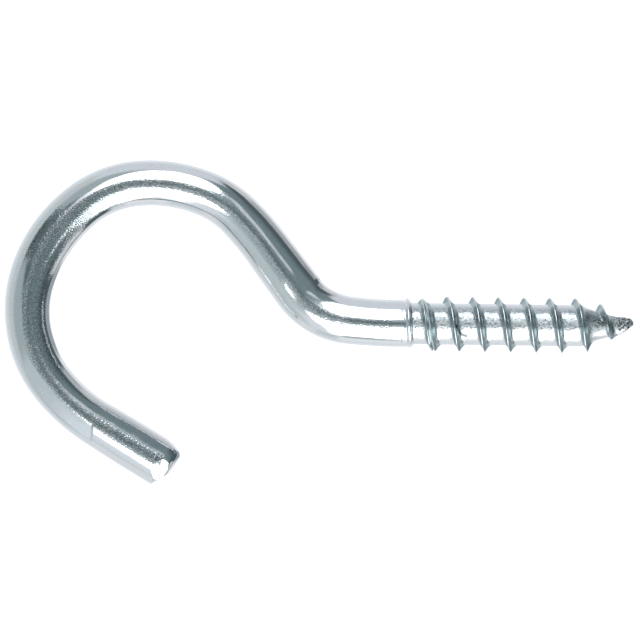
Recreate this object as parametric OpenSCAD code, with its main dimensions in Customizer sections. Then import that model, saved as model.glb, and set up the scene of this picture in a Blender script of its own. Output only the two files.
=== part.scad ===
// Screw hook, bent and thread-rolled from one length of steel wire.
// The screw lies along X with its point towards +X, and the hook lies in the XY plane.
// The origin is on the screw's axis, where the plain wire ends and the thread begins.

/* [Wire] */
// Diameter of the wire
wire_d = 5.8; // [4:0.1:7]
// Straight wire between the thread and the neck
lead_len = 0.9; // [0.5:0.1:20]

/* [Neck] */
// Radius of the slow bend that leads into the neck
ease_r = 58; // [20:1:120]
// How far that bend turns, in degrees
ease_turn = 6; // [1:0.5:12]
// Radius of the tight bend that sets the arm off the screw's axis
neck_r = 9.4; // [6:0.1:20]
// How far the neck turns, in degrees
neck_turn = 47.2; // [20:0.1:80]
// Straight arm between the neck and the bowl
arm_len = 6.3; // [1:0.1:30]

/* [Bowl] */
// Radius of the shoulder, where the arm opens into the bowl
shoulder_r = 36; // [15:1:80]
// How far the shoulder turns, in degrees
shoulder_turn = 8.8; // [2:0.1:20]
// Radius of the first bend over the top of the bowl
rise_r = 12.6; // [9:0.1:25]
// How far that bend turns, in degrees
rise_turn = 21.7; // [5:0.1:40]
// Radius of the slacker bend at the top
top_r = 18.3; // [9:0.1:25]
// How far the top turns, in degrees
top_turn = 28.7; // [5:0.1:40]
// Radius of the bend that leads down the far side
fall_r = 13.2; // [9:0.1:25]
// How far that bend turns, in degrees
fall_turn = 33.5; // [5:0.1:45]
// Radius of the slacker bend down the far side
side_r = 19; // [9:0.1:25]
// How far the far side turns, in degrees
side_turn = 28.7; // [5:0.1:40]
// Radius of the seat, where a load hangs
seat_r = 14.8; // [9:0.1:25]
// How far the seat turns, in degrees
seat_turn = 61.2; // [30:0.1:75]
// Radius of the bend that opens the bowl out into the tail
release_r = 21.6; // [12:0.1:60]
// How far that bend turns, in degrees
release_turn = 19.8; // [5:0.1:30]

/* [Tail] */
// Straight tail from the bowl to the cropped end
tail_len = 11; // [5:0.1:40]
// Length over which the crop pressed down the tail's inner edge
crush_len = 1.8; // [0.5:0.1:3]
// Slope of that pressed edge, in degrees from the wire
crush_angle = 21; // [10:1:40]
// Height above the wire's axis at which the break starts, negative towards the outside of the hook
break_height = -0.3; // [-2:0.1:2]
// Slope of the broken part, in degrees from the square end
break_angle = 28; // [5:1:45]

/* [Thread] */
// How far the crests stand above the wire's surface
crest_rise = 0.55; // [0.3:0.05:0.9]
// How far the core between the turns lies below the wire's surface
core_inset = 0.3; // [0.2:0.05:0.6]
// Distance from one crest to the next
pitch = 3.23; // [2.6:0.01:4]
// Length of the screw, from the end of the plain wire to the point
screw_len = 28.9; // [18:0.1:60]
// Distance from the end of the plain wire to the first crest, on the side that the bowl bends to
first_crest = 2.15; // [1.8:0.05:3.5]
// Width of the flat along a crest
crest_w = 0.2; // [0.1:0.05:0.4]
// Axial width of the flank that faces the hook
back_flank_w = 0.62; // [0.4:0.02:0.9]
// Axial width of the flank that faces the point
lead_flank_w = 0.85; // [0.5:0.05:1]
// Extra crest width on the first turn, where the wire didn't fill the rolling die
open_crest_w = 0.5; // [0:0.05:0.6]
// Depth of the groove along that open crest
open_crest_depth = 0.3; // [0:0.05:0.4]
// Turns over which the crest closes up
open_crest_turns = 2; // [1:0.5:4]

/* [Run-out] */
// How far the lip that the rolling pushed up stands above the wire's surface
lip_rise = 0.2; // [0.15:0.05:0.4]
// How far the lip sits off the screw's axis
lip_shift = 0.1; // [0:0.01:0.12]
// Length of the lip along the screw
lip_len = 1.1; // [0.6:0.1:1.5]

/* [Point] */
// Length over which the core narrows
taper_len = 6.6; // [4:0.1:12]
// Diameter of the core behind the blunt point
point_d = 2.1; // [1.2:0.1:3]
// Length of the rounded end of the point
nose_len = 1.2; // [0.6:0.1:2]
// Length over which the crests come down to the core
crest_taper_len = 6; // [4:0.1:10]
// Length from the point's end over which no thread stands
bare_point_len = 1.4; // [1:0.1:3]

/* [Hidden] */

wire_r = wire_d / 2;
core_r = wire_r - core_inset;
thread_r = wire_r + crest_rise;
lip_r = wire_r + lip_rise;
point_r = point_d / 2;
wire_fn = 64;
bend_fn = 180;

// Every other stretch is this much thinner and reaches into its neighbours,
// so that no two surfaces only touch where the stretches meet.
seam_step = 0.03;
seam_lap = 0.3;

// The wire from the thread to the tail: [radius, turn] for a bend, positive to the left
// of the way to the tail, and [0, length] for a straight.
STRETCHES = [
    [0, lead_len],
    [ease_r, -ease_turn],
    [neck_r, -neck_turn],
    [0, arm_len],
    [shoulder_r, shoulder_turn],
    [rise_r, rise_turn],
    [top_r, top_turn],
    [fall_r, fall_turn],
    [side_r, side_turn],
    [seat_r, seat_turn],
    [release_r, release_turn],
    [0, tail_len],
];
LAST = len(STRETCHES) - 1;

function is_straight(s) = s[0] == 0;
function turn_of(s) = is_straight(s) ? 0 : s[1];
// Where a stretch that starts at the origin along +X ends
function reach_of(s) =
    is_straight(s) ? [s[1], 0] : s[0] * [sin(abs(s[1])), sign(s[1]) * (1 - cos(s[1]))];
function turned(v, a) = [v[0] * cos(a) - v[1] * sin(a), v[0] * sin(a) + v[1] * cos(a)];
// Start of stretch i as [x, y, heading]; the wire leaves the thread towards -X
function start_of(i) =
    i == 0 ? [0, 0, 180]
    : let (from = start_of(i - 1), s = STRETCHES[i - 1], step = turned(reach_of(s), from[2]))
      [from[0] + step[0], from[1] + step[1], from[2] + turn_of(s)];

// Moves its children to the start of stretch i, with +X along the wire
module at_stretch(i) {
    from = start_of(i);
    translate([from[0], from[1], 0]) rotate(from[2]) children();
}

// One stretch of round wire of radius r, grown by lap0 at its start and lap1 at its end
module stretch(s, r, lap0, lap1) {
    if (is_straight(s))
        translate([-lap0, 0, 0]) rotate([0, 90, 0]) cylinder(h = s[1] + lap0 + lap1, r = r, $fn = wire_fn);
    else {
        back = lap0 / s[0] * 180 / PI;
        on = lap1 / s[0] * 180 / PI;
        mirror([0, s[1] < 0 ? 1 : 0, 0])
            translate([0, s[0], 0])
                rotate(-90 - back)
                    rotate_extrude(angle = abs(s[1]) + back + on, $fn = bend_fn)
                        translate([s[0], 0]) circle(r = r, $fn = wire_fn);
    }
}

// What the cropping tool took from the end of the tail, seen along Z
module crop() {
    far = 2 * wire_d;
    translate([tail_len, 0, -far / 2]) {
        translate([-crush_len, wire_r, 0]) rotate(-crush_angle) cube([2 * far, far, far]);
        translate([0, break_height, 0]) rotate(-90 - break_angle) cube([2 * far, far, far]);
    }
}

// The bent wire up to stretch n
module bent_wire(n) {
    thin = n % 2 == 0;
    r = thin ? wire_r - seam_step : wire_r;
    union() {
        if (n > 0) bent_wire(n - 1);
        at_stretch(n)
            difference() {
                stretch(STRETCHES[n], r, thin && n > 0 ? seam_lap : 0, thin && n < LAST ? seam_lap : 0);
                if (n == LAST) crop();
            }
    }
}

// The lip at the start of the thread
module run_out() {
    crest_x = 0.35 * lip_len;
    root_r = core_r - lip_shift;
    translate([0, lip_shift, 0])
        rotate([90, 0, 90])
            rotate_extrude($fn = wire_fn)
                polygon([
                    [0, -crest_x],
                    [root_r, -crest_x],
                    [lip_r, crest_x],
                    [root_r, lip_len],
                    [0, lip_len],
                ]);
}

// How far x has come from a to b, from 0 to 1
function share(x, a, b) = min(1, max(0, (x - a) / (b - a)));
// The same, starting and ending softly
function ramp(x, a, b) = let (u = share(x, a, b)) u * u * (3 - 2 * u);

// Radius of the core at x: parallel, then narrowing to the blunt point, then round
function core_at(x) =
    let (narrow = 1 - share(x, screw_len - taper_len, screw_len),
         nose = share(x, screw_len - nose_len, screw_len))
    (point_r + (core_r - point_r) * narrow * narrow) * sqrt(1 - nose * nose);

// The thread ends here
bare_x = screw_len - bare_point_len;
// Radius of the crest at x: it rises past the lip and comes down to the core before the point
function crest_at(x) =
    let (fall = share(x, bare_x - crest_taper_len, bare_x))
    core_r + (thread_r - core_r) * ramp(x, 0, first_crest + pitch / 2)
    - (thread_r - core_at(max(x, bare_x))) * fall * fall;
function height_at(x) = max(0, crest_at(x) - core_at(x));

// The leading flank has a shoulder this far from the crest, at this share of the height
shoulder_w = 0.4 * lead_flank_w;
shoulder_height = 0.45;

// How far open the crest still is after t turns from the first one
function open_at(t) = 1 - ramp(t, 0, open_crest_turns);

// The thread's section after t turns: [distance along the screw from the crest, share of the height]
function section_at(t) =
    let (open = open_at(t),
         half = (crest_w + open_crest_w * open) / 2,
         groove = open_crest_depth * open / (thread_r - core_r))
    [
        [-half - back_flank_w, 0],
        [-half, 1],
        [0, 1 - groove],
        [half, 1],
        [half + shoulder_w, shoulder_height],
        [half + lead_flank_w, 0],
    ];

// Past the start of the nose the turns close up, so that they end on the tip
function closed_up(x) =
    let (nose_x = screw_len - nose_len, past = max(0, x - nose_x) / nose_len)
    min(x, nose_x) + nose_len * (1 - exp(-1.5 * past));

thread_steps = 36;
first_turn = -1.5;
last_turn = floor((screw_len - first_crest) / pitch) + 2;

// The rolled thread with its core and point: one strip of sections wound round the axis
module thread() {
    steps = (last_turn - first_turn) * thread_steps;
    wide = len(section_at(0));
    points = [
        for (k = [0 : steps])
            let (t = first_turn + k / thread_steps, angle = 360 * t, crest = first_crest + pitch * t)
            for (p = section_at(t))
                let (x = closed_up(crest + p[0]), r = core_at(x) + p[1] * height_at(x))
                [x, r * cos(angle), r * sin(angle)],
    ];
    tail_end = len(points);
    tip_end = tail_end + 1;
    ends = [[points[0][0], 0, 0], [screw_len, 0, 0]];
    faces = [
        // Along the strip
        for (k = [0 : steps - 1], j = [0 : wide - 2])
            let (a = k * wide + j, b = a + wide)
            each [[a, a + 1, b], [b, a + 1, b + 1]],
        // From one turn to the next
        for (k = [0 : steps - thread_steps - 1])
            let (a = k * wide + wide - 1, b = a + wide, c = (k + thread_steps) * wide, d = c + wide)
            each [[a, c, b], [b, c, d]],
        // The two ends
        for (k = [0 : thread_steps - 1])
            [tail_end, k * wide, (k + 1) * wide],
        for (j = [0 : wide - 2])
            [tail_end, j + 1, j],
        [tail_end, thread_steps * wide, wide - 1],
        for (k = [steps - thread_steps : steps - 1])
            [tip_end, (k + 2) * wide - 1, (k + 1) * wide - 1],
        for (j = [0 : wide - 2])
            [tip_end, steps * wide + j, steps * wide + j + 1],
        [tip_end, (steps - thread_steps + 1) * wide - 1, steps * wide],
    ];
    polyhedron(concat(points, ends), faces);
}

module screw_hook() {
    color("lightsteelblue")
        union() {
            union() {
                bent_wire(LAST);
                run_out();
            }
            thread();
        }
}

screw_hook();
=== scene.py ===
"""A screw hook of bent wire with a rolled wood-screw thread, in bright zinc, lying on a pale studio floor."""

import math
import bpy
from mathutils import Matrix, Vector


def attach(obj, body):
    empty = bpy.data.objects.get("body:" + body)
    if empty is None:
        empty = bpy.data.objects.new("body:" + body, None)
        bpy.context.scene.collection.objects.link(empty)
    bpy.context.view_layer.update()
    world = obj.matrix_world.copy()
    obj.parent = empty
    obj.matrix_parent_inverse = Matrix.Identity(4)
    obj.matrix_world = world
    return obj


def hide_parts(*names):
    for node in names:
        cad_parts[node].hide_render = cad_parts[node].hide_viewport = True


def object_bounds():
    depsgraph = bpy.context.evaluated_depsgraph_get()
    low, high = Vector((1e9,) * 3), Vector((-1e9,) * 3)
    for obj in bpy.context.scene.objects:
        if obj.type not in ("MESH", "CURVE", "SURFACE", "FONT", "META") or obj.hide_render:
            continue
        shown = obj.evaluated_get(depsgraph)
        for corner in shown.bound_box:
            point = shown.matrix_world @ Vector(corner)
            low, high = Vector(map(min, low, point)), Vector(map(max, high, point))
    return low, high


bl_info = {
    "name": "Screw Hook",
    "version": (1, 0, 0),
    "blender": (4, 5, 0),
    "location": "3D View > Sidebar > Screw Hook",
    "description": "Makes a bent, thread-rolled and zinc-plated wire hook, with its studio",
    "category": "Add Mesh",
}

from collections import namedtuple

import bmesh
import bpy
from bpy.props import FloatProperty, FloatVectorProperty, IntProperty, PointerProperty
from mathutils import Matrix, Vector, noise

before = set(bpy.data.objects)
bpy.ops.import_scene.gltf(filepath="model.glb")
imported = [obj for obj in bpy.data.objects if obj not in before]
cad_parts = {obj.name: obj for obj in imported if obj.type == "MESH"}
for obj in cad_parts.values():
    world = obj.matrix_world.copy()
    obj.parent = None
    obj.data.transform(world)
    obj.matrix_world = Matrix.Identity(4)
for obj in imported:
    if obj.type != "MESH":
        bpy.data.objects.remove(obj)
CAD_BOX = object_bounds()

NODE = "screw_hook"
MM = 0.001
LENGTH = {"unit": "LENGTH", "subtype": "DISTANCE", "precision": 5}
COLOUR = {"subtype": "COLOR", "size": 3}

# The wire from the thread to the tail. A bend has its radius in mm and how far it turns in degrees, positive
# to the left of the way to the tail; a straight has its length in mm. Fullness is the wire's width in the
# plane of the hook at the middle of the stretch, as a share of its diameter, after the bend has squeezed it.
Stretch = namedtuple("Stretch", "name radius turn length fullness")
STRETCHES = (
    Stretch("lead", 0, 0, 0.9, 1.02),
    Stretch("ease", 58, -6, 0, 1.02),
    Stretch("neck", 9.4, -47.2, 0, 1.05),
    Stretch("arm", 0, 0, 6.3, 1.04),
    Stretch("shoulder", 36, 8.8, 0, 1.01),
    Stretch("rise", 12.6, 21.7, 0, 0.985),
    Stretch("top", 18.3, 28.7, 0, 0.98),
    Stretch("fall", 13.2, 33.5, 0, 0.99),
    Stretch("side", 19, 28.7, 0, 1.02),
    Stretch("seat", 14.8, 61.2, 0, 0.975),
    Stretch("release", 21.6, 19.8, 0, 0.98),
    Stretch("tail", 0, 0, 11, 1.03),
)


def run_length(stretch):
    """Length of a stretch along the wire's axis, in metres."""
    return (stretch.length or stretch.radius * math.radians(abs(stretch.turn))) * MM


def wire_length():
    """Length of the whole wire along its axis, from the thread to the end of the tail."""
    return sum(run_length(stretch) for stretch in STRETCHES)


def start_of(name):
    """Distance along the wire from the thread to the start of the named stretch."""
    run = 0.0
    for stretch in STRETCHES:
        if stretch.name == name:
            return run
        run += run_length(stretch)
    raise ValueError(f"the wire has no stretch named {name}")


def share(x, a, b):
    """How far x has come from a to b, from 0 to 1."""
    return min(1.0, max(0.0, (x - a) / (b - a)))


def ramp(x, a, b):
    """The same, starting and ending softly."""
    u = share(x, a, b)
    return u * u * (3 - 2 * u)


def soft_max(a, b, width):
    """The larger of a and b, with the corner between them rounded over width."""
    blend = max(0.0, width - abs(a - b)) / width
    return max(a, b) + blend * blend * width / 4


class ScrewHookWire(bpy.types.PropertyGroup):
    """Sizes of the bent wire."""

    diameter: FloatProperty(
        name="Wire diameter", description="Diameter of the drawn wire", default=5.8 * MM, **LENGTH
    )
    sides: IntProperty(name="Sides", description="Faces round the wire", default=96, min=24, max=160)
    ring_gap: FloatProperty(
        name="Ring spacing", description="Distance between the rings of the wire's mesh",
        default=0.28 * MM, **LENGTH
    )
    fine_gap: FloatProperty(
        name="Fine ring spacing", description="The same at the lip, the press mark and the cropped end",
        default=0.07 * MM, **LENGTH
    )
    pinch_height: FloatProperty(
        name="Pinch height", description="Height of the ridge pinched up inside the neck",
        default=0.17 * MM, **LENGTH
    )
    squeeze: FloatProperty(
        name="Squeeze", description="Loss of height, each side, at the end of the neck's bend",
        default=0.17 * MM, **LENGTH
    )
    flat_depth: FloatProperty(
        name="Flats", description="Depth of the flats along the bends' top and underside",
        default=0.055 * MM, **LENGTH
    )
    press_depth: FloatProperty(
        name="Press mark", description="Depth of the flat that the bending die left",
        default=0.2 * MM, **LENGTH
    )
    press_tilt: FloatProperty(
        name="Press tilt", description="Slope of that flat to the outside",
        default=math.radians(28), subtype="ANGLE"
    )


class ScrewHookTail(bpy.types.PropertyGroup):
    """Sizes of the cropped end of the tail."""

    face_rise: FloatProperty(
        name="Face", description="How far the face stands past the wire's length", default=0.12 * MM, **LENGTH
    )
    face_radius: FloatProperty(
        name="Face radius", description="Roundness of the face from top to underside",
        default=6 * MM, **LENGTH
    )
    roll_over: FloatProperty(
        name="Rolled edge", description="Width of the edge that the crop drew down",
        default=1.4 * MM, **LENGTH
    )
    crush_length: FloatProperty(
        name="Crush length", description="Length of the pressed inner edge", default=1.8 * MM, **LENGTH
    )
    crush_angle: FloatProperty(
        name="Crush angle", description="Slope of the pressed edge", default=math.radians(21), subtype="ANGLE"
    )
    break_start: FloatProperty(
        name="Break start", description="Where the break starts, from the axis to the bowl's inside",
        default=-0.3 * MM, **LENGTH
    )
    break_angle: FloatProperty(
        name="Break angle", description="Slope of the break from the face",
        default=math.radians(28), subtype="ANGLE"
    )
    ragged: FloatProperty(
        name="Raggedness", description="Depth of the torn grain", default=0.09 * MM, **LENGTH
    )


class ScrewHookThread(bpy.types.PropertyGroup):
    """Sizes of the rolled thread, its lip and its point."""

    length: FloatProperty(
        name="Screw length", description="From the plain wire to the point", default=28.9 * MM, **LENGTH
    )
    pitch: FloatProperty(name="Pitch", description="From one crest to the next", default=3.23 * MM, **LENGTH)
    first_crest: FloatProperty(
        name="First crest", description="From the plain wire to the first crest", default=2.15 * MM, **LENGTH
    )
    crest_rise: FloatProperty(
        name="Crest rise", description="Height of the crests above the wire", default=0.55 * MM, **LENGTH
    )
    core_inset: FloatProperty(
        name="Core inset", description="Depth of the core below the wire", default=0.3 * MM, **LENGTH
    )
    crest_width: FloatProperty(
        name="Crest width", description="Flat along a crest", default=0.06 * MM, **LENGTH
    )
    back_flank: FloatProperty(
        name="Back flank", description="Axial width of the flank that faces the hook",
        default=0.44 * MM, **LENGTH
    )
    lead_flank: FloatProperty(
        name="Leading flank", description="Axial width of the flank that faces the point",
        default=0.72 * MM, **LENGTH
    )
    open_width: FloatProperty(
        name="Open crest", description="Extra width of the first crest", default=0.46 * MM, **LENGTH
    )
    open_depth: FloatProperty(
        name="Crest groove", description="Depth of the groove along the first crest",
        default=0.26 * MM, **LENGTH
    )
    open_turns: FloatProperty(name="Open turns", description="Turns over which the crest closes", default=1.2)
    taper: FloatProperty(
        name="Taper", description="Length over which the core narrows", default=6.6 * MM, **LENGTH
    )
    point_diameter: FloatProperty(
        name="Point diameter", description="Core behind the blunt point", default=2.1 * MM, **LENGTH
    )
    nose: FloatProperty(name="Nose", description="Length of the rounded end", default=1.2 * MM, **LENGTH)
    crest_taper: FloatProperty(
        name="Crest taper", description="Length over which the crests come down", default=6.0 * MM, **LENGTH
    )
    bare_point: FloatProperty(
        name="Bare point", description="Length of the point without thread", default=1.4 * MM, **LENGTH
    )
    lip_rise: FloatProperty(
        name="Lip rise", description="Height of the lip above the wire", default=0.2 * MM, **LENGTH
    )
    lip_shift: FloatProperty(
        name="Lip shift", description="How far the lip sits off the axis", default=0.1 * MM, **LENGTH
    )
    lip_slant: FloatProperty(
        name="Lip slant", description="How far the lip's -Y side lies towards the point",
        default=0.4 * MM, **LENGTH
    )
    lip_place: FloatProperty(
        name="Lip place", description="From the plain wire to the lip's crest", default=0.38 * MM, **LENGTH
    )
    lip_width: FloatProperty(
        name="Lip width", description="Width of the lip at its foot", default=1.0 * MM, **LENGTH
    )
    steps: IntProperty(name="Steps", description="Faces round the thread", default=96, min=24, max=160)
    pitting: FloatProperty(
        name="Pitting", description="Depth of the pits at the point", default=0.12 * MM, **LENGTH
    )


class ScrewHookFinish(bpy.types.PropertyGroup):
    """Colours and grain of the zinc plating."""

    bright: FloatVectorProperty(
        name="Bright zinc", description="Colour of the polished zinc", default=(0.74, 0.77, 0.785), **COLOUR
    )
    warm: FloatVectorProperty(
        name="Warm zinc", description="Colour of its warmer patches", default=(0.755, 0.755, 0.77), **COLOUR
    )
    # Dark grain, and also a painted reflection: the fine dark line along the start of the wire
    dull_grain_and_painted_line: FloatVectorProperty(
        name="Dull zinc", description="Colour of the grain between", default=(0.19, 0.22, 0.23), **COLOUR
    )
    # Painted reflection: the flanks are given a darker teal-grey than the zinc, standing in for what they
    # mirror
    flank: FloatVectorProperty(
        name="Flanks", description="Colour of the thread's flanks", default=(0.52, 0.59, 0.60), **COLOUR
    )
    # Painted shade: a darker grey laid in the thread's roots and on the bowl's inner side
    cloud: FloatVectorProperty(
        name="Clouded zinc", description="Colour of the clouded zinc in the thread's roots",
        default=(0.31, 0.355, 0.37), **COLOUR
    )
    glancing: FloatVectorProperty(
        name="Glancing tint", description="Tint of what the zinc mirrors at a glancing angle",
        default=(0.86, 0.86, 0.90), **COLOUR
    )
    # Painted reflection: a darker glancing tint on the flanks alone, so that they mirror darker than the rest
    # of the zinc
    flank_glancing_painted_reflection: FloatVectorProperty(
        name="Flanks' glancing tint", description="The same on the thread's flanks",
        default=(0.36, 0.42, 0.44), **COLOUR
    )
    # Painted shade: the near-black laid in the pits, along the lap and the scratch, and as specks in the
    # roots
    pit_painted_shade: FloatVectorProperty(
        name="Pits", description="Colour inside pits and laps", default=(0.10, 0.12, 0.13), **COLOUR
    )
    roughness: FloatProperty(
        name="Roughness", description="Roughness of the polished zinc", default=0.07, min=0, max=1
    )
    grain_size: FloatProperty(
        name="Grain size", description="Size of the zinc's grain", default=0.18 * MM, **LENGTH
    )


class ScrewHookStage(bpy.types.PropertyGroup):
    """The floor, the lights and the camera."""

    floor_colour: FloatVectorProperty(
        name="Floor", description="Colour of the floor", default=(0.36, 0.36, 0.362), **COLOUR
    )
    floor_size: FloatProperty(name="Floor size", description="Width of the floor", default=1.6, **LENGTH)
    softbox_power: FloatProperty(name="Softboxes", description="Strength of the softboxes' glow", default=1.9)
    camera_height: FloatProperty(
        name="Camera height", description="From the axis to the camera", default=0.5, **LENGTH
    )
    picture_width: FloatProperty(
        name="Picture width", description="Width in view at the axis", default=80.6 * MM, **LENGTH
    )
    picture_centre: FloatVectorProperty(
        name="Picture centre", description="Point that the camera looks at", size=2,
        default=(-10.59 * MM, 0.30 * MM)
    )
    picture_roll: FloatProperty(
        name="Picture roll", description="Turn of the camera", default=math.radians(0.77), subtype="ANGLE"
    )


# ---------------------------------------------------------------- the wire


def fullness_at(run):
    """Width of the wire as a share of its diameter, eased from the middle of one stretch to the next."""
    before = None
    middle = 0.0
    for stretch in STRETCHES:
        middle += run_length(stretch) / 2
        if run < middle:
            if before is None:
                return stretch.fullness
            return before[1] + (stretch.fullness - before[1]) * ramp(run, before[0], middle)
        before = (middle, stretch.fullness)
        middle += run_length(stretch) / 2
    return before[1]


def forward(heading):
    """Unit vector in the plane of the hook."""
    return Vector((math.cos(heading), math.sin(heading), 0))


def across(heading):
    """Unit vector to the left of a heading."""
    return Vector((-math.sin(heading), math.cos(heading), 0))


def ring_gap_at(run, wire):
    """Distance to the next ring of the wire's mesh, short at the lip, the press mark and the cropped end."""
    near = wire.diameter / 8
    at_end = run > wire_length() - wire.diameter / 2
    fine = run < near or at_end or abs(run - start_of("tail")) < near
    return wire.fine_gap if fine else wire.ring_gap


def draw_wire(bm, wire, start):
    """Draws the wire from start, which lies inside the thread, through every stretch to the end of the tail.

    The vector layer straight_place keeps where each vertex would lie if the wire weren't bent. Returns the
    edges of the last ring, the end of the wire's axis and its heading there.
    """
    place = bm.verts.layers.float_vector.new("straight_place")
    upright = Matrix.Translation((start, 0, 0)) @ Matrix.Rotation(math.pi / 2, 4, "Y")
    made = bmesh.ops.create_circle(
        bm, cap_ends=True, segments=wire.sides, radius=wire.diameter / 2, matrix=upright
    )
    for vert in made["verts"]:
        vert[place] = vert.co
    ring = list(bm.edges)
    run, here, heading = -start, Vector((start, 0, 0)), math.pi
    for stretch in STRETCHES:
        left = run_length(stretch) + (start if stretch.name == "lead" else 0)
        turn_rate = math.radians(stretch.turn) / run_length(stretch)
        arm = across(heading) * stretch.radius * MM * math.copysign(1, stretch.turn)
        while left > wire.fine_gap / 10:
            step = min(left, ring_gap_at(run, wire))
            angle = turn_rate * step
            made = bmesh.ops.spin(
                bm,
                geom=ring,
                cent=here + arm,
                axis=(0, 0, math.copysign(1, angle)),
                dvec=forward(heading) * (step if stretch.length else 0),
                angle=abs(angle),
                steps=1,
                use_duplicate=False,
            )
            run += step
            left -= step
            for vert in made["geom_last"]:
                if isinstance(vert, bmesh.types.BMVert):
                    vert[place] = (-run, *vert[place].yz)
            ring = [edge for edge in made["geom_last"] if isinstance(edge, bmesh.types.BMEdge)]
            if stretch.length:
                here = here + forward(heading) * step
            else:
                turned = Matrix.Rotation(angle, 3, "Z") @ arm
                here = here + arm - turned
                arm = turned
                heading += angle
    return ring, here, heading


def close_tail(bm, ring, wire, rings=14):
    """Closes the end of the tail with a face of rings, fine enough to be shaped."""
    cap = bmesh.ops.contextual_create(bm, geom=ring)["faces"]
    for _ in range(rings - 1):
        bmesh.ops.inset_region(bm, faces=cap, thickness=wire.diameter / 2 / rings, use_even_offset=True)
    bmesh.ops.poke(bm, faces=cap)


def pinch_at(run, angle, wire):
    """Rise of the wire's inner side where the neck's bend was forced: a ridge, steep on the neck's side."""
    ridge = start_of("arm") - 0.09 * wire.diameter
    past = run - ridge
    if past > 0:
        pinch = wire.pinch_height * math.exp(-past / (0.55 * wire.diameter))
    else:
        hollow = 0.5 * ramp(past, -wire.diameter, 0)
        pinch = wire.pinch_height * (1.5 * math.exp(past / (0.2 * wire.diameter)) - hollow)
    return pinch * ramp(math.cos(angle), 0.1, 1.0)


def squeeze_at(run, wire):
    """Loss of height where the neck's bend pressed the wire: more and more up to the bend's end."""
    deepest = start_of("arm") - 0.2 * wire.diameter
    pressed = share(run, start_of("neck") + 0.1 * wire.diameter, deepest)
    return wire.squeeze * pressed * (1 - ramp(run, deepest, deepest + 0.6 * wire.diameter))


def press_at(run, angle, wire):
    """Depth of the flat that the bending die left between the wire's top and its outer side.

    It slopes in along the wire and ends at a crease that runs across it at a slant.
    """
    radius = wire.diameter / 2
    crease = start_of("tail") + 0.5 * (radius * math.cos(angle) - 0.2 * wire.diameter)
    past = run - crease
    if math.sin(angle) < 0 or past > 0.03 * wire.diameter:
        return 0.0
    depth = wire.press_depth * ramp(past, -2.4 * wire.diameter, -1.1 * wire.diameter)
    depth *= 1 - share(past, 0, 0.03 * wire.diameter)
    tilted = math.cos(math.pi / 2 - angle - wire.press_tilt)
    return max(0.0, radius - (radius - depth) / max(tilted, 0.5))


def flat_at(run, angle, wire):
    """Depth of the narrow flats that the bending tool pressed along the top and the underside."""
    narrow = math.cos(angle) / 0.45
    if abs(narrow) >= 1:
        return 0.0
    return wire.flat_depth * ramp(run, 1.4 * wire.diameter, 2.2 * wire.diameter) * (1 - narrow * narrow) ** 2


def lip_radius(x, angle, wire, thread):
    """Radius of the wire where the thread starts: rolling pushed up a lip and took the metal past it."""
    plain_r = wire.diameter / 2 * fullness_at(0)
    lip_r = wire.diameter / 2 + thread.lip_rise + thread.lip_shift * math.cos(angle)
    hidden_r = wire.diameter / 2 - 1.8 * thread.core_inset
    half = thread.lip_width / 2
    past = x - thread.lip_place - thread.lip_slant * (1 - math.cos(angle)) / 2
    rise = ramp(past, -0.8 * half, -0.1 * half)
    fall = ramp(past, 0.1 * half, 1.5 * half)
    dip = 0.12 * thread.lip_rise * ramp(past, -1.3 * half, -0.8 * half) * (1 - rise)
    return plain_r - dip + (lip_r - plain_r) * rise - (lip_r - hidden_r) * fall


def heading_at(run):
    """Direction of the wire at this distance from the thread, in radians from +X."""
    heading = math.pi
    for stretch in STRETCHES:
        heading += math.radians(stretch.turn) * share(run, 0, run_length(stretch))
        run -= run_length(stretch)
        if run < 0:
            break
    return heading


def shape_wire(bm, wire, thread):
    """Gives the round wire the section that bending and rolling left it."""
    place = bm.verts.layers.float_vector["straight_place"]
    radius = wire.diameter / 2
    headings = {}
    for vert in bm.verts:
        x, side, up = vert[place]
        angle = math.atan2(up, side)
        if x > -0.1 * radius:
            grown = lip_radius(x, angle, wire, thread) / radius
            vert.co = (x, side * grown, up * grown)
            continue
        run = -x
        full = fullness_at(run)
        grown = pinch_at(run, angle, wire) - press_at(run, angle, wire)
        # What the bending takes from the width goes into the height
        wide = (radius * full + grown) * math.cos(angle)
        pressed = flat_at(run, angle, wire) + squeeze_at(run, wire)
        high = (radius * (1 + (1 - full) / 2) + grown - pressed) * math.sin(angle)
        heading = headings.setdefault(x, heading_at(run))
        vert.co += across(heading) * (side - wide) + Vector((0, 0, high - up))


# The bright flat on the upper side of the break: which way it faces, and where it passes over the tail's
# axis, along it from the end of the wire and up as a share of the wire's half height
FACET_FACING = Vector((0.37, -0.155, 0.916)).normalized()
FACET_START = -1.5 * MM
FACET_HEIGHT = 0.91


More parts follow.
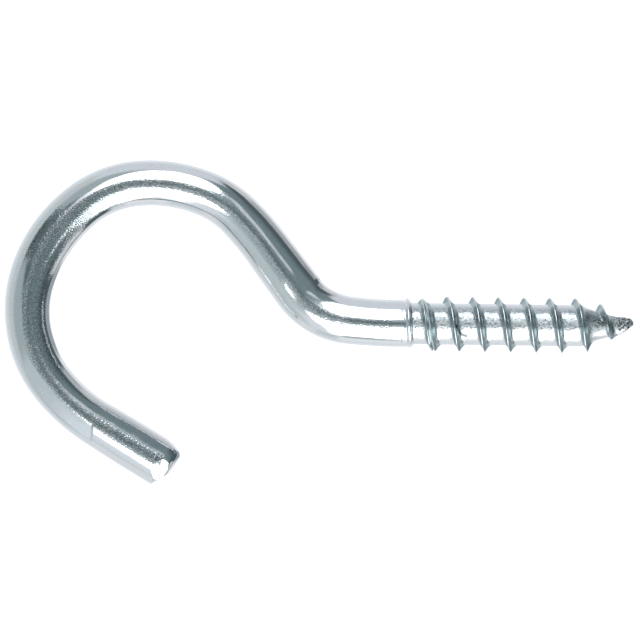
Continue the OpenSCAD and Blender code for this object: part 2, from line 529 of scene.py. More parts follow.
def crop_limit(point, wire, tail):
    """How far a point lies outside the cropped end.

    The point's parts run along the wire from its end, towards the bowl's inside, and up.
    """
    along, inward, up = point
    full = fullness_at(start_of("tail") + 0.9 * run_length(STRETCHES[-1]))
    wide = wire.diameter / 2 * full
    high = wire.diameter / 2 * (1 + (1 - full) / 2)
    round_part = (math.hypot(inward / wide, up / high) - 1) * high
    # The cutter's two jaws came from above and below, and drew the face round
    face = math.hypot(max(0.0, along - tail.face_rise + tail.face_radius), up) - tail.face_radius
    drawn_in = ramp(along, -0.6 * wire.diameter, -0.15 * wire.diameter)
    blank = soft_max(round_part, face, (0.02 + 0.98 * drawn_in) * tail.roll_over)
    grain = noise.noise(Vector(point) / (0.55 * MM)) + 0.5 * noise.noise(Vector(point) / (0.22 * MM))
    crush = (
        (inward - wide) * math.cos(tail.crush_angle)
        + (along + tail.crush_length) * math.sin(tail.crush_angle)
    )
    # On the bowl's side, the break leans back below the bright flat
    lean_back = min(0.4 * MM, 0.6 * (0.45 * high - up)) * share(inward, -0.5 * wide, 0)
    torn = (
        (along - tail.face_rise) * math.cos(tail.break_angle)
        - (inward - tail.break_start) * math.sin(tail.break_angle)
        + tail.ragged * grain
        + lean_back
    )
    on_facet = Vector((FACET_START, 0, FACET_HEIGHT * high))
    facet = FACET_FACING.dot(Vector(point) - on_facet) + 0.5 * tail.ragged * grain
    return max(soft_max(blank, crush, 0.4 * MM), torn, facet)


def crop_tail(bm, end, heading, wire, tail):
    """Draws the blank end of the tail in to the shape that the cropping left."""
    place = bm.verts.layers.float_vector["straight_place"]
    to_tail = (Matrix.Translation(end) @ Matrix.Rotation(heading, 4, "Z")).inverted()
    from_tail = to_tail.inverted()
    heart = Vector((-0.45 * wire.diameter, 0, 0))
    for vert in bm.verts:
        local = to_tail @ vert.co
        ray = local - heart
        if ray.x <= 0 or local.length > wire.diameter:
            continue
        # The cap may grow to the face; the wall is only ever cut back
        on_cap = local.x > -0.001 * wire.diameter and math.hypot(local.y, local.z) < 0.49 * wire.diameter
        inside, outside = 0.2, 1.5 if on_cap else 1.0
        if crop_limit(heart + ray * outside, wire, tail) > 0:
            for _ in range(20):
                middle = (inside + outside) / 2
                if crop_limit(heart + ray * middle, wire, tail) < 0:
                    inside = middle
                else:
                    outside = middle
            local = heart + ray * inside
            vert.co = from_tail @ local
        vert[place] = (-wire_length() - local.x, -local.y, local.z)


# ---------------------------------------------------------------- the thread

# The thread's section on each side of its crest: places from the crest's edge, as shares of that flank's
# width, each with its share of the height. The root between two sections is plain.
BACK_FLANK = ((-1.18, 0.0), (-1.0, 0.035), (-0.72, 0.22), (-0.4, 0.52), (-0.12, 0.86))
LEAD_FLANK = ((0.1, 0.84), (0.3, 0.54), (0.55, 0.28), (0.8, 0.10), (1.0, 0.025), (1.2, 0.0))
ROOT_POINTS = 5
# Turns before the first crest at which the wound strip starts, inside the plain wire
EARLY_TURNS = 1.5
# The last turns crowd together this close to the tip, and become one point there
TIP_GAP = 0.04 * MM


def core_at(x, wire, thread):
    """Radius of the core: parallel, then narrowing to the blunt point, then round."""
    core_r = wire.diameter / 2 - thread.core_inset
    point_r = thread.point_diameter / 2
    narrow = 1 - share(x, thread.length - thread.taper, thread.length)
    nose = share(x, thread.length - thread.nose, thread.length)
    return (point_r + (core_r - point_r) * narrow * narrow) * math.sqrt(max(0.0, 1 - nose * nose))


def height_at(x, wire, thread):
    """Height of the crest above the core: it rises past the lip and comes down before the point."""
    core_r = wire.diameter / 2 - thread.core_inset
    crest_r = wire.diameter / 2 + thread.crest_rise
    bare = thread.length - thread.bare_point
    fall = share(x, bare - thread.crest_taper, bare)
    rise = ramp(x, 0, thread.first_crest + thread.pitch / 2)
    full = core_r + (crest_r - core_r) * rise - (crest_r - core_at(max(x, bare), wire, thread)) * fall * fall
    return max(0.0, full - core_at(x, wire, thread))


def section_at(turns, wire, thread):
    """The section after this many turns from the first crest: its places along the screw and heights."""
    opened = ramp(turns, -0.1, 0.2) * (1 - ramp(turns, 0.35 * thread.open_turns, thread.open_turns))
    half = (thread.crest_width + thread.open_width * opened) / 2
    groove = thread.open_depth * opened / (thread.crest_rise + thread.core_inset)
    back = [(-half + at * thread.back_flank, height) for at, height in BACK_FLANK]
    brim = (0.7 * half, 1 - 0.1 * groove)
    crest = [(-half, 1.0), (-brim[0], brim[1]), (0, 1 - groove), brim, (half, 1.0)]
    lead = [(half + at * thread.lead_flank, height) for at, height in LEAD_FLANK]
    start = lead[-1][0]
    stop = back[0][0] + thread.pitch
    root = [(start + (stop - start) * (k + 1) / (ROOT_POINTS + 1), 0.0) for k in range(ROOT_POINTS)]
    return back + crest + lead + root


def closed_up(x, thread):
    """Past the start of the nose the turns close up, so that they end on the tip."""
    nose_start = thread.length - thread.nose
    past = max(0.0, x - nose_start) / thread.nose
    return min(x, nose_start) + thread.nose * (1 - math.exp(-1.5 * past))


def pits_at(point, depth, thread):
    """Depth of the pits and hammered dents that the blunt point carries."""
    worn = ramp(point.x, thread.length - 1.9 * thread.nose, thread.length - 0.6 * thread.nose)
    if worn == 0:
        return 0.0
    dents = noise.noise(point / (0.62 * MM)) + 0.6 * noise.noise(point / (0.28 * MM))
    return depth * worn * dents


def wind_strip(bm, order, count, wire, thread):
    """Winds a line of vertices round the blank wire into one closed mesh, count of them to each pitch.

    The layer order keeps each vertex's number in the thread's section, from 1, or 0 in the middle of an end.
    """
    turns = math.floor((thread.length - thread.first_crest) / thread.pitch) + 2 + EARLY_TURNS
    blank_r = wire.diameter / 2
    last = None
    for k in range(int(turns * count) + 1):
        vert = bm.verts.new((thread.pitch * (k / count - EARLY_TURNS), blank_r, 0))
        vert[order] = k % count + 1
        if last is not None:
            bm.edges.new((last, vert))
        last = vert
    bmesh.ops.spin(
        bm,
        geom=bm.verts[:] + bm.edges[:],
        cent=(0, 0, 0),
        axis=(1, 0, 0),
        dvec=(thread.pitch / thread.steps, 0, 0),
        angle=2 * math.pi,
        steps=thread.steps,
        use_duplicate=False,
    )
    bmesh.ops.remove_doubles(bm, verts=bm.verts[:], dist=blank_r / thread.steps / 20)
    caps = bmesh.ops.holes_fill(bm, edges=[edge for edge in bm.edges if edge.is_boundary], sides=0)["faces"]
    for centre in bmesh.ops.poke(bm, faces=caps)["verts"]:
        centre[order] = 0


def roll_thread(bm, wire, thread):
    """Makes the thread: winds it, then brings every vertex to its place in the section and to its radius."""
    order = bm.verts.layers.int.new("section_order")
    count = len(section_at(0, wire, thread))
    wind_strip(bm, order, count, wire, thread)
    lift = 0.12 * thread.point_diameter
    for vert in bm.verts:
        if vert[order] == 0:
            vert.co = (thread.length, lift, 0) if vert.co.x > 0 else (vert.co.x, 0, 0)
            continue
        k = vert[order] - 1
        wound = vert.co.x / thread.pitch - k / count
        along, height = section_at(wound, wire, thread)[k]
        x = closed_up(thread.first_crest + thread.pitch * wound + along, thread)
        angle = 2 * math.pi * wound
        out = Vector((0, math.cos(angle), math.sin(angle)))
        radius = core_at(x, wire, thread) + height * height_at(x, wire, thread)
        point = Vector((x, 0, 0)) + out * radius
        point -= out * pits_at(point, min(thread.pitting, 0.3 * radius), thread)
        # The point is cropped too, with a long slope on its -Y side and its end left off the axis towards +Y
        left = thread.length - point.x
        point.y = max(point.y, -0.6 * left) + lift * (1 - share(left, 0, thread.nose))
        vert.co = point
    crowded = [vert for vert in bm.verts if vert.co.x > thread.length - TIP_GAP]
    bmesh.ops.pointmerge(bm, verts=crowded, merge_co=(thread.length, lift, 0))


# ---------------------------------------------------------------- the piece

# The wire's mesh starts this far inside the thread, where the two overlap
OVERLAP = 1.4 * MM
# Edges sharper than this stay crisp
SHARP_ANGLE = math.radians(42)


def mesh_object(name, bm):
    """Makes a bmesh an object of its own, with its faces outwards."""
    bmesh.ops.recalc_face_normals(bm, faces=bm.faces[:])
    mesh = bpy.data.meshes.new(name)
    bm.to_mesh(mesh)
    bm.free()
    made = bpy.data.objects.new(name, mesh)
    bpy.context.scene.collection.objects.link(made)
    return made


def apply_modifiers(piece):
    """Replaces a piece's mesh by what its modifiers make of it."""
    finished = bpy.data.meshes.new_from_object(piece.evaluated_get(bpy.context.evaluated_depsgraph_get()))
    piece.modifiers.clear()
    piece.data = finished


def join_solids(piece, other):
    """Makes one closed mesh of two that overlap."""
    union = piece.modifiers.new("join", "BOOLEAN")
    union.operation = "UNION"
    union.solver = "EXACT"
    union.object = other
    apply_modifiers(piece)
    bpy.data.objects.remove(other)


def shade(piece):
    """Smooth faces, with the sharp edges left crisp."""
    piece.data.polygons.foreach_set("use_smooth", [True] * len(piece.data.polygons))
    piece.data.set_sharp_from_angle(angle=SHARP_ANGLE)


def mark_thread(piece, wire, thread):
    """Keeps where the thread lies, as it was never bent, and how far up a crest each vertex stands."""
    shares = piece.data.attributes.new("crest_share", "FLOAT", "POINT").data
    places = piece.data.attributes["straight_place"].data
    for vert, place, crest in zip(piece.data.vertices, places, shares):
        x = vert.co.x
        if x > 0:
            place.vector = vert.co
        height = height_at(x, wire, thread)
        if x > thread.lip_place + thread.lip_width and height > 0.05 * MM:
            crest.value = share((vert.co.yz.length - core_at(x, wire, thread)) / height, 0, 1)


class SCREWHOOK_OT_hook(bpy.types.Operator):
    """Make the hook: bent wire, cropped tail and rolled thread in one closed mesh"""

    bl_idname = "screwhook.hook"
    bl_label = "Hook"

    def execute(self, context):
        wire, tail = context.scene.screw_hook_wire, context.scene.screw_hook_tail
        thread, finish = context.scene.screw_hook_thread, context.scene.screw_hook_finish
        bm = bmesh.new()
        ring, end, heading = draw_wire(bm, wire, OVERLAP)
        close_tail(bm, ring, wire)
        shape_wire(bm, wire, thread)
        crop_tail(bm, end, heading, wire, tail)
        piece = mesh_object("hook", bm)
        bm = bmesh.new()
        roll_thread(bm, wire, thread)
        join_solids(piece, mesh_object("thread", bm))
        mark_thread(piece, wire, thread)
        shade(piece)
        piece.data.materials.clear()
        piece.data.materials.append(zinc_plating(finish, wire))
        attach(piece, "root")
        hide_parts(NODE)
        return {"FINISHED"}


# ---------------------------------------------------------------- the finish

# Heights of the finish's bumps
DENT_HEIGHT = 0.03 * MM
DRAWN_HEIGHT = 0.006 * MM
GRAIN_HEIGHT = 0.015 * MM
PIT_DEPTH = 0.06 * MM


class Nodes:
    """A short way to add nodes to a tree and link them."""

    def __init__(self, tree):
        self.tree = tree
        tree.nodes.clear()

    def add(self, kind, settings=None, **inputs):
        """Adds a node. An input is a value or another node's output.

        It is named by its label, with _ for a space, or by i and its number.
        """
        node = self.tree.nodes.new(kind)
        for name, value in (settings or {}).items():
            setattr(node, name, value)
        for name, value in inputs.items():
            socket = node.inputs[int(name[1:])] if name[1:].isdigit() else node.inputs[name.replace("_", " ")]
            if isinstance(value, bpy.types.NodeSocket):
                self.tree.links.new(value, socket)
            else:
                socket.default_value = value
        return node

    def math(self, operation, *values):
        """A Math node on one, two or three values."""
        inputs = {f"i{k}": value for k, value in enumerate(values)}
        return self.add("ShaderNodeMath", {"operation": operation}, **inputs).outputs[0]

    def chain(self, operation, first, others):
        """The same operation on the first value and each of the others in turn."""
        for other in others:
            first = self.math(operation, first, other)
        return first

    def times(self, first, *others):
        """The product of several values."""
        return self.chain("MULTIPLY", first, others)

    def most(self, first, *others):
        """The largest of several values."""
        return self.chain("MAXIMUM", first, others)

    def total(self, first, *others):
        """The sum of several values."""
        return self.chain("ADD", first, others)

    def flat_length(self, x, y):
        """Length of the vector x, y."""
        return self.math("SQRT", self.total(self.math("POWER", x, 2.0), self.math("POWER", y, 2.0)))

    def noise(self, vector, scale, detail=2.0, roughness=0.5):
        """A noise pattern's value."""
        return self.add(
            "ShaderNodeTexNoise", Vector=vector, Scale=scale, Detail=detail, Roughness=roughness
        ).outputs["Fac"]

    def between(self, value, low, high, to_low=0.0, to_high=1.0):
        """Maps value from low..high to to_low..to_high, softly, and keeps it within."""
        node = self.add("ShaderNodeMapRange", {"interpolation_type": "SMOOTHSTEP"}, Value=value)
        for name, number in (("From Min", low), ("From Max", high), ("To Min", to_low), ("To Max", to_high)):
            node.inputs[name].default_value = number
        return node.outputs["Result"]

    def stretched(self, vector, scale):
        """The vector with each part scaled by its own factor."""
        return self.add("ShaderNodeVectorMath", {"operation": "MULTIPLY"}, i0=vector, i1=scale).outputs[0]

    def mix(self, factor, low, high):
        """A colour between two."""
        node = self.add("ShaderNodeMix", {"data_type": "RGBA"}, Factor=factor)
        for socket, value in ((node.inputs[6], low), (node.inputs[7], high)):
            if isinstance(value, bpy.types.NodeSocket):
                self.tree.links.new(value, socket)
            else:
                socket.default_value = (*value, 1.0)
        return node.outputs[2]

    def bump(self, height, distance, normal=None):
        """A bump of this height in metres."""
        node = self.add("ShaderNodeBump", Height=height, Distance=distance, Strength=1.0)
        if normal is not None:
            self.tree.links.new(normal, node.inputs["Normal"])
        return node.outputs["Normal"]


class Surface:
    """Places on the hook as masks from 0 to 1, measured on the wire as it was before it was bent."""

    def __init__(self, nodes, wire):
        self.nodes = nodes
        self.place = nodes.add("ShaderNodeAttribute", {"attribute_name": "straight_place"}).outputs["Vector"]
        self.parts = nodes.add("ShaderNodeSeparateXYZ", Vector=self.place).outputs
        self.along = self.parts["X"]
        self.side = nodes.math("DIVIDE", self.parts["Y"], wire.diameter / 2)
        crest = nodes.add("ShaderNodeAttribute", {"attribute_name": "crest_share"}).outputs["Fac"]
        # The thread past its lip, its roots, and its flanks, fainter at a crest's edge and at the last crest
        self.threaded = nodes.between(self.along, 0.2 * MM, 1.2 * MM)
        self.root = nodes.times(self.threaded, nodes.between(crest, 0.0, 0.12, 1.0, 0.0))
        # The flanks' mask, which carries their painted reflection
        self.flank = nodes.times(
            nodes.between(crest, 0.0, 0.12),
            nodes.between(crest, 0.78, 0.96, 1.0, 0.15),
            nodes.between(self.along, 25.4 * MM, 26.6 * MM, 1.0, 0.3),
        )

    def band(self, low, high, start, stop, soft):
        """A mask on the top and the underside: low to high across the wire, and start to stop along it.

        Across is in shares of the wire's radius, below 0 on the bowl's inner side and the thread's -Y side.
        Along is in mm from the thread towards the tail, so the thread itself lies below 0.
        """
        nodes = self.nodes
        return nodes.times(
            nodes.between(self.side, low - 0.08, low + 0.08),
            nodes.between(self.side, high - 0.08, high + 0.08, 1.0, 0.0),
            nodes.between(self.along, -stop * MM - soft * MM, -stop * MM + soft * MM),
            nodes.between(self.along, -start * MM - soft * MM, -start * MM + soft * MM, 1.0, 0.0),
        )

    def arc(self, x, y, radius, half, x_side, y_side):
        """A thin curved mark on the thread's upper side: a quarter of a circle round x, y, in mm.

        Half is half its width, and x_side and y_side are 1 or -1 for the quarter towards + or -.
        """
        nodes = self.nodes
        dx = nodes.math("SUBTRACT", self.parts["X"], x * MM)
        dy = nodes.math("SUBTRACT", self.parts["Y"], y * MM)
        off = nodes.math("ABSOLUTE", nodes.math("SUBTRACT", nodes.flat_length(dx, dy), radius * MM))
        return nodes.times(
            nodes.between(off, 0.6 * half * MM, 1.2 * half * MM, 1.0, 0.0),
            nodes.between(nodes.times(dx, x_side), -0.1 * MM, 0.1 * MM),
            nodes.between(nodes.times(dy, y_side), -0.1 * MM, 0.1 * MM),
            nodes.between(self.parts["Z"], 0.0, MM),
        )


def coarse_grain(nodes, surface, dulled):
    """Where the zinc's grain is coarse, from a faint 0.15 to 1."""
    # Along the crown of the whole wire, but less from the arm to the rise
    fainter = nodes.times(surface.band(-0.5, 0.4, 12, 31, 2), 0.45)
    crown = nodes.math("SUBTRACT", surface.band(-0.3, 0.16, 1.6, 90.4, 0.5), fainter)
    # All over the bowl's inner side, where the bend squeezed it, and faintly after it and on the arm
    squeezed = nodes.most(surface.band(-0.78, 0.1, 42.5, 74, 1.5), surface.band(0.0, 0.6, 50, 57.5, 0.6))
    mottled = nodes.most(surface.band(-0.78, 0.0, 72, 91.5, 2), surface.band(0.0, 0.8, 14, 31, 1.5))
    coarse = nodes.most(
        crown, squeezed, nodes.times(mottled, 0.18), nodes.times(dulled, 0.4), nodes.times(surface.root, 0.2)
    )
    return nodes.between(coarse, 0.0, 1.0, 0.15, 1.0)


def pits(nodes, surface, dulled, pattern):
    """Pits behind the last crest, at the point and on the tail's break, and specks in the dulled roots."""
    pitted = nodes.most(
        surface.band(-0.02, 0.36, -25.2, -23.6, 0.3),
        surface.band(-0.22, 0.42, -29.5, -26.8, 0.3),
        nodes.times(surface.band(-0.3, 0.0, 89.5, 90.5, 0.25), 0.8),
    )
    specks = nodes.times(nodes.between(pattern, 0.56, 0.61, 0.0, 0.6), dulled)
    return nodes.most(nodes.times(nodes.between(pattern, 0.47, 0.54), pitted), specks)


def painted_root_and_bowl_shade(nodes, surface, pattern):
    """Clouded zinc in the thread's roots, and on the inner side where the bowl starts to fall."""
    in_roots = nodes.times(
        surface.root,
        nodes.between(surface.side, 0.0, 0.2),
        nodes.between(surface.side, 0.6, 0.8, 1.0, 0.0),
        nodes.between(pattern, 0.40, 0.60, 0.4, 0.9),
    )
    return nodes.most(in_roots, nodes.times(surface.band(-0.7, -0.1, 42.5, 50, 1.2), 0.6))


def painted_reflection_line(nodes, surface):
    """A fine line that the rolling left along the start of the wire, on its -Y side."""
    off = nodes.math("ABSOLUTE", nodes.total(surface.side, 0.69))
    return nodes.times(
        nodes.between(off, 0.02, 0.06, 1.0, 0.0), surface.band(-0.9, -0.5, 0.6, 7.5, 0.3), 0.5
    )


def zinc_plating(finish, wire):
    """Bright zinc: a mirror with a fine grain, drawn lines along it, and speckles where it was worked."""
    material = bpy.data.materials.new("zinc_plating")
    material.use_nodes = True
    nodes = Nodes(material.node_tree)
    surface = Surface(nodes, wire)
    position = nodes.add("ShaderNodeTexCoord").outputs["Object"]
    grain = nodes.noise(position, 1 / finish.grain_size, detail=0.0)
    fleck = nodes.noise(position, 1.1 / finish.grain_size, detail=1.0)
    patches = nodes.noise(position, 0.12 / finish.grain_size, detail=2.0)
    drawn = nodes.noise(nodes.stretched(surface.place, (0.03, 1.0, 1.0)), 1.2 / finish.grain_size, detail=3.0)
    dents = nodes.noise(position, 0.35 / finish.grain_size, detail=2.0, roughness=0.6)
    pitting = nodes.noise(position, 0.75 / finish.grain_size, detail=1.0)

    dulled = nodes.times(surface.root, surface.band(-0.2, 0.3, -30, -1, 0.3))
    coarse = coarse_grain(nodes, surface, dulled)
    speckle = nodes.times(nodes.between(fleck, 0.58, 0.42), coarse)
    pit_painted_shade = pits(nodes, surface, dulled, pitting)
    # A lap beside the second crest, and a scratch past the lip, drawn only as thin lines of painted shade
    painted_lap_and_scratch_shade = nodes.most(
        surface.arc(7.95, -0.05, 1.40, 0.2, -1.0, -1.0), surface.arc(1.05, -1.65, 0.8, 0.05, 1.0, 1.0)
    )

    normal = nodes.bump(nodes.times(dents, surface.root), DENT_HEIGHT)
    normal = nodes.bump(drawn, DRAWN_HEIGHT, normal)
    normal = nodes.bump(nodes.times(grain, coarse), GRAIN_HEIGHT, normal)
    normal = nodes.bump(nodes.math("SUBTRACT", 1.0, pit_painted_shade), PIT_DEPTH, normal)

    colour = nodes.mix(nodes.between(patches, 0.4, 0.62), tuple(finish.bright), tuple(finish.warm))
    # Over the zinc's colour in turn: dark grain, painted shade in the roots, a painted reflection line,
    # painted reflection on the flanks, and painted shade along the lap, the scratch and in the pits
    for mask, over in (
        (nodes.times(speckle, 0.65), finish.dull_grain_and_painted_line),
        (painted_root_and_bowl_shade(nodes, surface, dents), finish.cloud),
        (painted_reflection_line(nodes, surface), finish.dull_grain_and_painted_line),
        (surface.flank, finish.flank),
        (nodes.times(painted_lap_and_scratch_shade, 0.9), finish.pit_painted_shade),
        (pit_painted_shade, finish.pit_painted_shade),
    ):
        colour = nodes.mix(mask, colour, tuple(over))

    # The last roots before the point are the roughest
    blunt = nodes.times(surface.root, nodes.between(surface.along, 22.6 * MM, 24.0 * MM))
    rough = nodes.total(
        nodes.between(speckle, 0.0, 1.0, 0.0, 0.10),
        nodes.between(patches, 0.3, 0.7, 0.0, 0.04),
        nodes.times(surface.threaded, 0.12),
        nodes.times(dulled, 0.14),
        nodes.times(blunt, 0.18),
        finish.roughness,
    )
    shader = nodes.add(
        "ShaderNodeBsdfPrincipled", Base_Color=colour, Metallic=1.0, Roughness=rough, Normal=normal
    )
    # The flanks' darker glancing tint is a painted reflection
    glancing = nodes.mix(surface.flank, tuple(finish.glancing), tuple(finish.flank_glancing_painted_reflection))
    nodes.tree.links.new(glancing, shader.inputs["Specular Tint"])
    nodes.add("ShaderNodeOutputMaterial", Surface=shader.outputs[0])
    return material


# ---------------------------------------------------------------- the stage

# Patches of the room, in the order in which they cover each other. The centre is in degrees from straight
# overhead towards +X and +Y, and the half size, the turn and the soft edge are in degrees too.
RoomPatch = namedtuple("RoomPatch", "centre half turn soft colour")
ROOM_PATCHES = (
    # The far side: pale at the horizon, and below it on the right
    RoomPatch((-2, 92), (40, 22), 0, 6, (0.78, 0.82, 0.88)),
    RoomPatch((79, 76), (15, 12), 46, 4, (0.52, 0.54, 0.56)),
    RoomPatch((60, 100), (15, 20), 46, 4, (0.72, 0.74, 0.76)),
    # The near left side, lighter than the rest
    RoomPatch((-52, -40), (30, 14), 37, 6, (0.60, 0.68, 0.70)),
    RoomPatch((-33, -62), (12, 22), 0, 8, (0.86, 0.92, 0.97)),
    # A dark strip on the far left, darkest at its end
    RoomPatch((-36, 22), (32, 8), -32, 2, (0.12, 0.165, 0.18)),
    RoomPatch((-56, 32), (7, 9), -30, 3, (0.06, 0.09, 0.10)),
    # Bright cards on the near left
    RoomPatch((-17, -35), (13, 5), 63, 6, (1.50, 1.55, 1.60)),
    RoomPatch((-58, -90), (16, 12), 57, 6, (0.90, 0.94, 0.96)),
    # A pale edge and a dark gap to the right of the far softbox
    RoomPatch((17.5, 21), (3.0, 13), -19, 2.5, (0.80, 0.86, 0.90)),
    RoomPatch((33, 60), (11, 11), 0, 5, (0.20, 0.27, 0.29)),
    # Nearly overhead, between the two softboxes
    RoomPatch((-5, -8), (3, 4), 0, 2.5, (0.62, 0.67, 0.70)),
    RoomPatch((-12.5, 16), (4, 5), 20, 2.5, (1.15, 1.20, 1.25)),
    # The near side and the near right, with a thin bright slit over them
    RoomPatch((-17, -72), (8, 12), 0, 3, (1.60, 1.65, 1.70)),
    RoomPatch((56, -62), (11, 22), -31, 6, (0.42, 0.47, 0.49)),
    RoomPatch((83, -57), (13, 22), -31, 4, (0.80, 0.83, 0.84)),
    RoomPatch((2, -106), (22, 16), 0, 5, (0.98, 1.02, 1.04)),
    RoomPatch((28, -27), (9, 2.2), 43, 1.5, (2.6, 2.7, 2.8)),
)
# A grey patch low on the right, over the pale floor
LOW_RIGHT = RoomPatch((135, 2), (20, 72), 0, 7, (0.42, 0.47, 0.50))


def light_table_finish(colour):
    """Opal white that glows evenly from below, as a light table does, with the faintest unevenness."""
    material = bpy.data.materials.new("light_table")
    material.use_nodes = True
    nodes = Nodes(material.node_tree)
    position = nodes.add("ShaderNodeTexCoord").outputs["Object"]
    cloud = nodes.noise(position, 9.0)
    tint = nodes.mix(nodes.between(cloud, 0.3, 0.7), tuple(colour), tuple(0.985 * part for part in colour))
    surface = nodes.add("ShaderNodeBsdfPrincipled", Base_Color=tint, Roughness=0.7)
    nodes.tree.links.new(tint, surface.inputs["Emission Color"])
    surface.inputs["Emission Strength"].default_value = 2.4
    nodes.add("ShaderNodeOutputMaterial", Surface=surface.outputs[0])
    return material


def covered(nodes, tilt, patch, room):
    """The room's colour with one oblong, soft-edged patch over it. Tilt is a direction's two angles."""
    dx, dy = (nodes.math("SUBTRACT", way, middle) for way, middle in zip(tilt, patch.centre))
    cosine, sine = math.cos(math.radians(patch.turn)), math.sin(math.radians(patch.turn))
    wide = nodes.total(nodes.times(dx, cosine), nodes.times(dy, sine))
    tall = nodes.total(nodes.times(dx, -sine), nodes.times(dy, cosine))
    masks = (
        nodes.between(nodes.math("ABSOLUTE", way), reach - patch.soft, reach + patch.soft, 1.0, 0.0)
        for way, reach in zip((wide, tall), patch.half)
    )
    return nodes.mix(nodes.times(*masks), room, patch.colour)


def studio_world():
    """The room round the hook: grey on the left, dark on the right, and pale low down."""
    world = bpy.data.worlds.new("studio")
    world.use_nodes = True
    nodes = Nodes(world.node_tree)
    direction = nodes.add("ShaderNodeTexCoord").outputs["Generated"]
    parts = nodes.add("ShaderNodeSeparateXYZ", Vector=direction).outputs
    # How far a direction lies from straight overhead, whole and towards +X and +Y, in degrees
    away = nodes.math("DEGREES", nodes.math("ARCCOSINE", parts["Z"]))
    flat = nodes.most(nodes.flat_length(parts["X"], parts["Y"]), 0.001)
    stretch = nodes.math("DIVIDE", away, flat)
    tilt = (nodes.times(parts["X"], stretch), nodes.times(parts["Y"], stretch))

    left = nodes.mix(nodes.between(away, 62.0, 84.0), (0.43, 0.51, 0.53), (0.66, 0.72, 0.74))
    left = nodes.mix(nodes.between(away, 96.0, 116.0), left, (0.82, 0.88, 0.90))
    dark = nodes.mix(nodes.between(away, 48.0, 82.0), (0.21, 0.28, 0.295), (0.095, 0.13, 0.14))
    dark = nodes.mix(nodes.between(away, 114.0, 128.0), dark, (0.80, 0.83, 0.85))
    room = nodes.mix(nodes.between(nodes.math("DIVIDE", parts["X"], flat), 0.34, 0.46), left, dark)
    # A dark spot straight overhead, in the gap between the softboxes
    room = nodes.mix(nodes.between(away, 3.0, 9.0, 1.0, 0.0), room, (0.135, 0.18, 0.19))
    for patch in ROOM_PATCHES:
        room = covered(nodes, tilt, patch, room)
    room = nodes.mix(nodes.between(away, 122.0, 140.0), room, (1.06, 1.09, 1.12))
    room = covered(nodes, tilt, LOW_RIGHT, room)
    # The camera itself sees a plain pale backdrop
    seen = nodes.add("ShaderNodeLightPath").outputs["Is Camera Ray"]
    glow = nodes.add("ShaderNodeBackground", Color=nodes.mix(seen, room, (0.93, 0.94, 0.95)), Strength=1.0)
    nodes.add("ShaderNodeOutputWorld", Surface=glow.outputs[0])
    bpy.context.scene.world = world


def softbox(name, tilt, lean, nod, size, distance, glow):
    """An oval light, tilt degrees from overhead towards +X and +Y, turned lean and tipped nod degrees."""
    light = bpy.data.lights.new(name, "AREA")
    light.shape = "ELLIPSE"
    light.size, light.size_y = size
    light.energy = glow * size[0] * size[1] * math.pi
    made = bpy.data.objects.new(name, light)
    aim = Matrix.Rotation(-math.radians(tilt[1]), 4, "X") @ Matrix.Rotation(math.radians(tilt[0]), 4, "Y")
    turn = Matrix.Rotation(math.radians(lean), 4, "Z") @ Matrix.Rotation(math.radians(nod), 4, "X")
    made.matrix_world = aim @ Matrix.Translation((0, 0, distance)) @ turn
    made.visible_camera = False
    bpy.context.scene.collection.objects.link(made)


def lay_floor(stage, wire, thread):
    """A wide pale floor that meets the thread's first full crest and the far side of the bowl."""
    crest_r = wire.diameter / 2 + thread.crest_rise
    crest_x = thread.first_crest + 1.5 * thread.pitch
    bowl_x = CAD_BOX[0].x + wire.diameter / 2
    slope = math.atan((crest_r - wire.diameter / 2) / (crest_x - bowl_x))
    bm = bmesh.new()
    bmesh.ops.create_grid(bm, x_segments=8, y_segments=8, size=stage.floor_size / 2)
    tilt = Matrix.Translation((crest_x, 0, -crest_r)) @ Matrix.Rotation(slope, 4, "Y")
    bmesh.ops.transform(bm, matrix=tilt, verts=bm.verts[:])
    floor = mesh_object("floor", bm)
    floor.data.materials.append(light_table_finish(stage.floor_colour))
    # The hook mirrors the room, and not the table that it lies on
    floor.visible_glossy = False


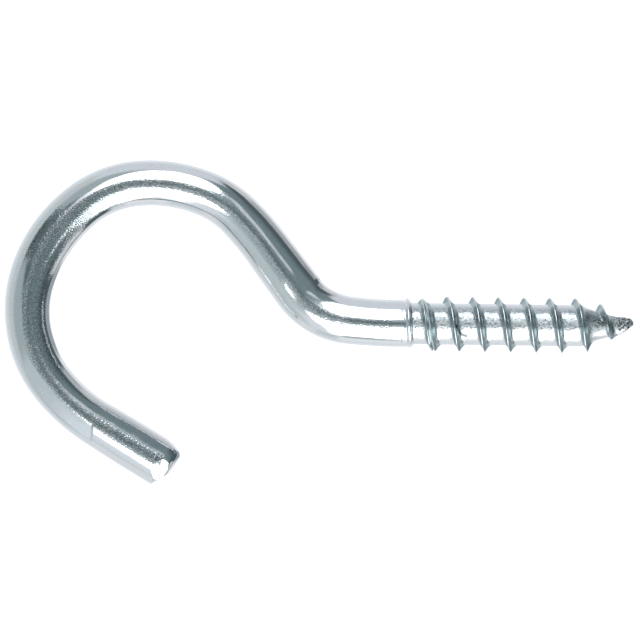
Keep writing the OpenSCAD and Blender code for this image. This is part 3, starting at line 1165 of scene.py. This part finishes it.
class SCREWHOOK_OT_stage(bpy.types.Operator):
    """Make the floor, the softboxes, the room and the camera"""

    bl_idname = "screwhook.stage"
    bl_label = "Stage"

    def execute(self, context):
        stage = context.scene.screw_hook_stage
        lay_floor(stage, context.scene.screw_hook_wire, context.scene.screw_hook_thread)
        studio_world()
        softbox(
            "far_softbox",
            tilt=(-0.5, 40), lean=-18, nod=-8, size=(0.54, 1.10), distance=1.0, glow=stage.softbox_power,
        )
        softbox(
            "near_softbox",
            tilt=(7.5, -55), lean=35, nod=0, size=(0.86, 1.62), distance=0.9, glow=stage.softbox_power,
        )
        camera = bpy.data.cameras.new("camera")
        camera.sensor_width = 36
        camera.lens = camera.sensor_width * stage.camera_height / stage.picture_width
        camera.clip_start, camera.clip_end = 0.01, 10
        seen = bpy.data.objects.new("camera", camera)
        seen.location = (*stage.picture_centre, stage.camera_height)
        seen.rotation_euler = (0, 0, stage.picture_roll)
        context.scene.collection.objects.link(seen)
        context.scene.camera = seen
        context.scene.view_settings.view_transform = "Standard"
        return {"FINISHED"}


class SCREWHOOK_PT_panel(bpy.types.Panel):
    """Sizes, finish and stage of the screw hook"""

    bl_idname = "SCREWHOOK_PT_panel"
    bl_label = "Screw Hook"
    bl_space_type = "VIEW_3D"
    bl_region_type = "UI"
    bl_category = "Screw Hook"

    def draw(self, context):
        for title, name in GROUPS:
            box = self.layout.box()
            box.label(text=title)
            group = getattr(context.scene, name)
            for prop in group.bl_rna.properties:
                if prop.identifier not in {"rna_type", "name"}:
                    box.prop(group, prop.identifier)
        for operator in OPERATORS:
            self.layout.operator(operator.bl_idname)


OPERATORS = (SCREWHOOK_OT_hook, SCREWHOOK_OT_stage)
PROPERTY_GROUPS = {
    "screw_hook_wire": ScrewHookWire,
    "screw_hook_tail": ScrewHookTail,
    "screw_hook_thread": ScrewHookThread,
    "screw_hook_finish": ScrewHookFinish,
    "screw_hook_stage": ScrewHookStage,
}
GROUPS = tuple((kind.__doc__.rstrip("."), name) for name, kind in PROPERTY_GROUPS.items())


def register():
    """Registers the sizes, the operators and the panel."""
    for name, kind in PROPERTY_GROUPS.items():
        bpy.utils.register_class(kind)
        setattr(bpy.types.Scene, name, PointerProperty(type=kind))
    for kind in (*OPERATORS, SCREWHOOK_PT_panel):
        bpy.utils.register_class(kind)


def unregister():
    """Takes them away again."""
    for kind in (SCREWHOOK_PT_panel, *reversed(OPERATORS)):
        bpy.utils.unregister_class(kind)
    for name, kind in reversed(PROPERTY_GROUPS.items()):
        delattr(bpy.types.Scene, name)
        bpy.utils.unregister_class(kind)


def main():
    """Makes the hook and its stage, and writes the boxes of the CAD model and of the visual model."""
    register()
    bpy.ops.screwhook.hook()
    bpy.ops.screwhook.stage()


if __name__ == "__main__":
    main()
